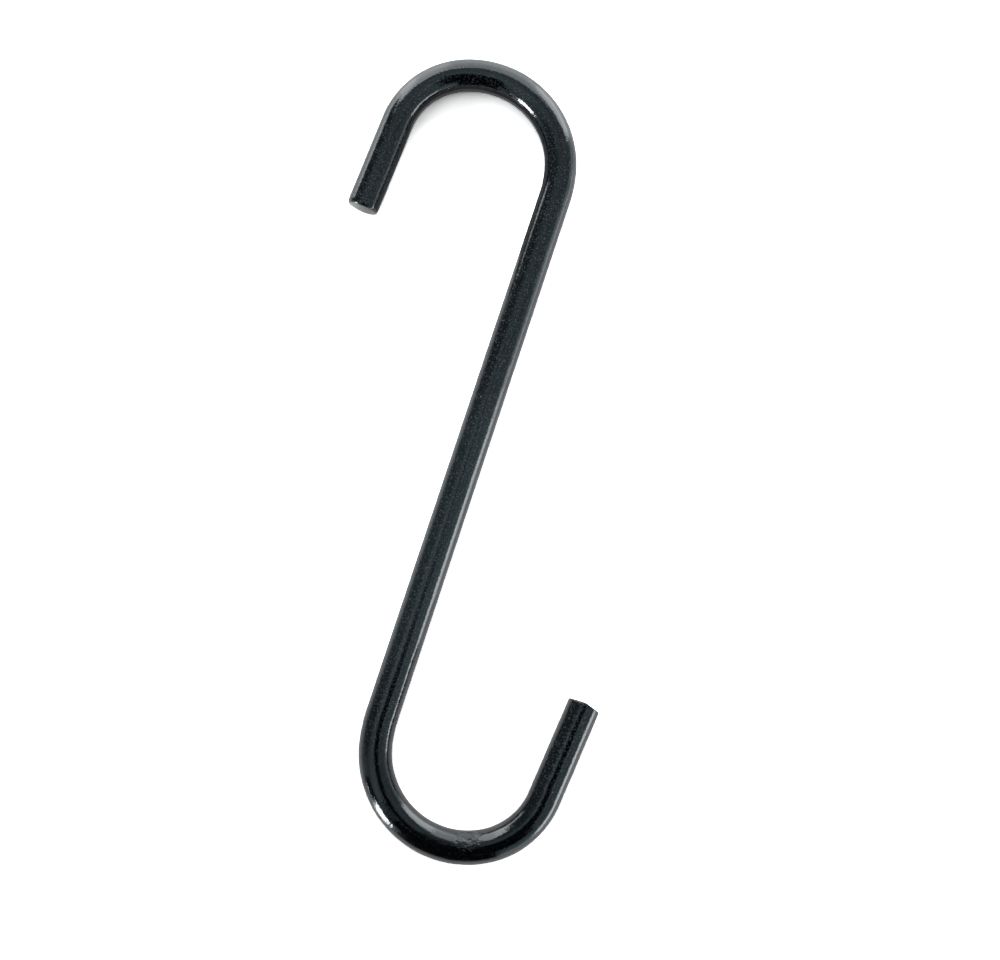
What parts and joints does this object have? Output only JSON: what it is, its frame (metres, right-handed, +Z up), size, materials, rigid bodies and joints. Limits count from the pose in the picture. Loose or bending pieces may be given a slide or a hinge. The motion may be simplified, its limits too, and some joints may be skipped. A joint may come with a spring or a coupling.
{
  "type": "s hook",
  "caption": "Black coated steel S hook, bent from one round bar, that hangs a thing from a rail, chain or shelf wire.",
  "frame": {"origin": "middle of the hook's outline, on the surface that the hook lies on", "axes": "+Y along the straight shank towards the upper hook, which opens towards -X; +Z up, out of the flat side of the hook"},
  "size_m": [0.0782, 0.1525, 0.0064],
  "materials": {
    "coat": "gloss black powder coat"
  },
  "bodies": {
    "root": {"hook": "coat"}
  },
  "joints": []
}
